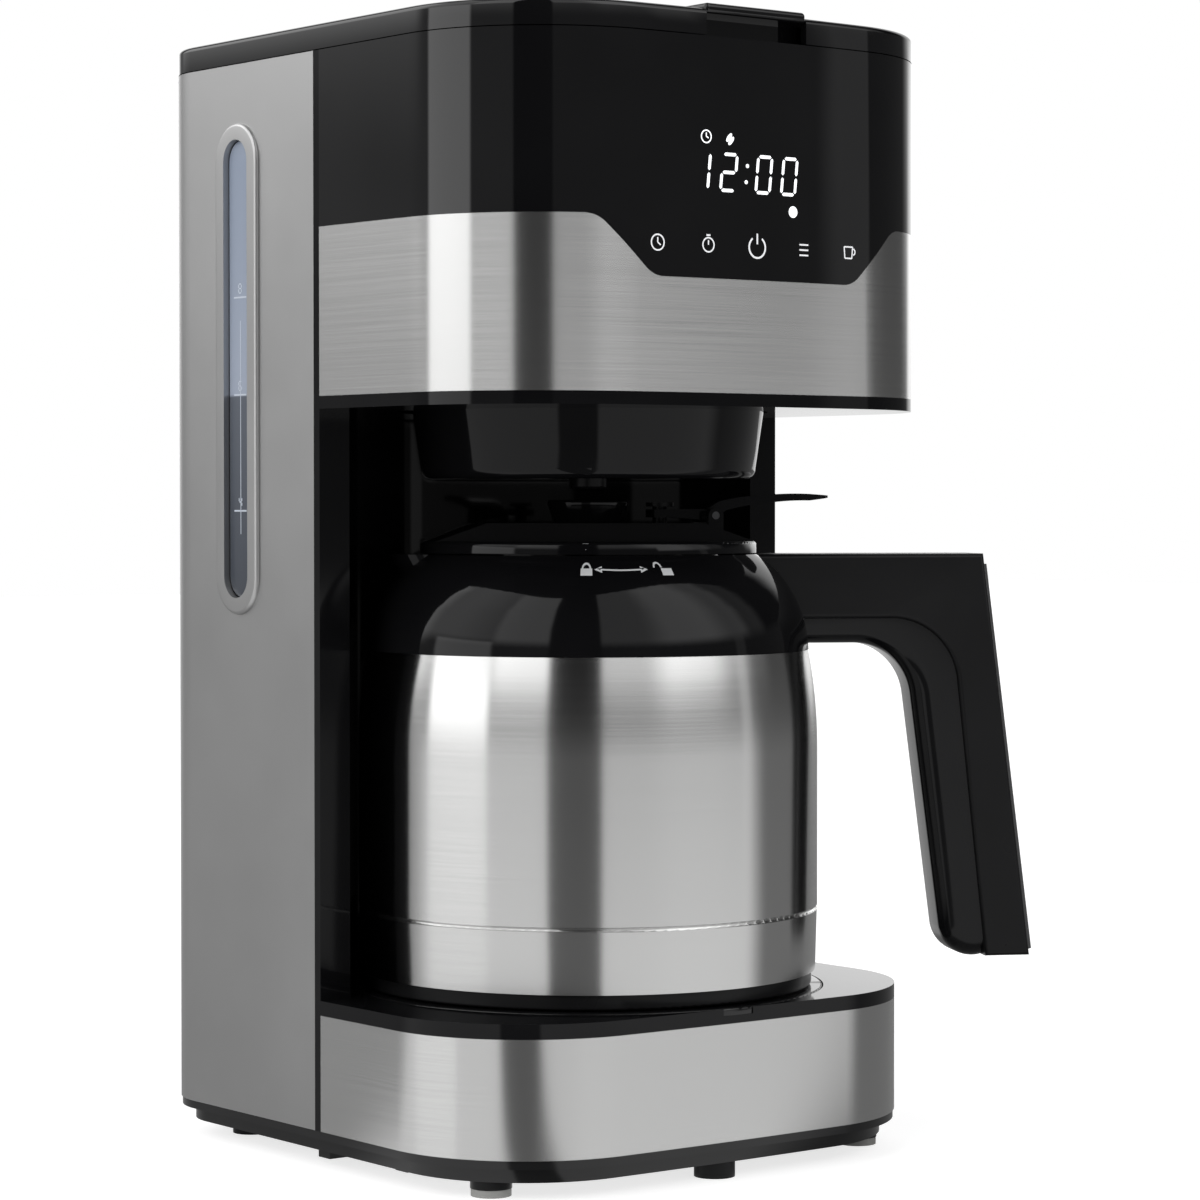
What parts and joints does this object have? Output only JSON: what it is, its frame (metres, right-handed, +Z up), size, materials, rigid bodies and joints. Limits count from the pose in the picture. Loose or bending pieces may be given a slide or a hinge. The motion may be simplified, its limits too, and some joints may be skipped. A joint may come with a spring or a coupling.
{
  "type": "drip coffee maker",
  "caption": "Drip coffee maker with a steel-clad tower, touch display, hinged top lid, filter basket and a thermal jug with a twist lid and thumb lever.",
  "frame": {"origin": "middle of the whole footprint, handle included, at table height", "axes": "+Z up, the front faces -Y, +X to the right seen from the front"},
  "size_m": [0.2128, 0.1924, 0.3361],
  "materials": {
    "gloss_black": "high gloss black",
    "satin_black": "satin black, fine texture",
    "brushed_steel": "horizontally brushed stainless steel",
    "bare_steel": "plain stainless steel",
    "clear_plastic": "clear polycarbonate",
    "tank_plastic": "smoke grey polypropylene",
    "cast_aluminium": "extruded aluminium",
    "silicone": "translucent silicone rubber",
    "grey_pad": "light grey rubber",
    "circuit_board": "green solder mask",
    "dark_component": "moulded component",
    "cable_sheath": "grey insulated wire"
  },
  "bodies": {
    "root": {"base_pan": "satin_black", "bottom_screws": "bare_steel", "lower_housing": "satin_black", "base_wrap": "brushed_steel", "jug_plate": "gloss_black", "feet": "satin_black", "foot_pads": "grey_pad", "bay_wall": "satin_black", "upper_housing": "satin_black", "head_housing": "satin_black", "brew_well": "satin_black", "side_panel_left": "brushed_steel", "side_panel_right": "brushed_steel", "rear_cover": "satin_black", "rear_screws": "bare_steel", "mains_gland": "satin_black", "head_band": "brushed_steel", "head_fascia": "gloss_black", "head_lip": "gloss_black", "display_board": "circuit_board", "display_module": "dark_component", "touch_pads": "dark_component", "buzzer": "dark_component", "display_cable": "cable_sheath", "water_tank": "tank_plastic", "level_window": "clear_plastic", "window_gasket": "silicone", "tank_strainer": "tank_plastic", "flow_heater": "cast_aluminium", "heating_element": "bare_steel", "heater_bracket": "bare_steel", "thermal_cutouts": "bare_steel", "cold_hose": "silicone", "check_valve": "tank_plastic", "hot_riser": "silicone", "riser_nozzle": "silicone", "power_board": "circuit_board", "power_parts": "dark_component", "heater_leads": "cable_sheath", "lid_hinge_pins": "bare_steel", "basket_holder": "gloss_black", "filter_basket": "satin_black", "drip_spring": "bare_steel"},
    "top_lid": {"lid_outer": "satin_black", "lid_liner": "satin_black"},
    "drip_stop": {"drip_valve": "satin_black", "drip_seal": "silicone"},
    "jug": {"jug_outer_shell": "brushed_steel", "jug_inner_liner": "bare_steel", "jug_collar": "gloss_black", "jug_base_cap": "satin_black", "handle_shell": "satin_black", "handle_insert": "gloss_black", "handle_trim": "satin_black"},
    "jug_lid": {"jug_lid_body": "gloss_black", "jug_lid_gasket": "silicone", "lever_pin": "bare_steel", "valve_spring": "bare_steel"},
    "thumb_lever": {"lid_lever": "gloss_black"},
    "pour_valve": {"pour_valve": "tank_plastic"}
  },
  "joints": [
    {"name": "top_lid_hinge", "type": "hinge", "parent": "root", "child": "top_lid", "pos_m": [-0.01823, 0.09005, 0.33075], "axis": [-1, 0, 0], "range_deg": [0, 85]},
    {"name": "drip_stop_slide", "type": "slide", "parent": "root", "child": "drip_stop", "axis": [0, 0, 1], "range_m": [0, 0.004], "stiffness_N_per_m": 150, "springref_m": -0.003, "deforming": ["drip_spring"]},
    {"name": "jug_slide", "type": "slide", "parent": "root", "child": "jug", "axis": [0, -1, 0], "range_m": [0, 0.22]},
    {"name": "jug_lid_twist", "type": "hinge", "parent": "jug", "child": "jug_lid", "pos_m": [-0.01823, -0.0172, 0.182], "axis": [0, 0, 1], "range_deg": [0, 25]},
    {"name": "thumb_lever_hinge", "type": "hinge", "parent": "jug_lid", "child": "thumb_lever", "pos_m": [0.01409, -0.03438, 0.1916], "axis": [0.4695, 0.8829, 0], "range_deg": [0, 10], "stiffness_Nm_per_rad": 0.12, "springref_deg": -8.59},
    {"name": "pour_valve_slide", "type": "slide", "parent": "jug_lid", "child": "pour_valve", "axis": [0, 0, 1], "range_m": [0, 0.0025], "deforming": ["valve_spring"]}
  ],
  "couplings": [
    {"joint": "thumb_lever_hinge", "follows": "pour_valve_slide", "rad_per_m": 68.5}
  ]
}
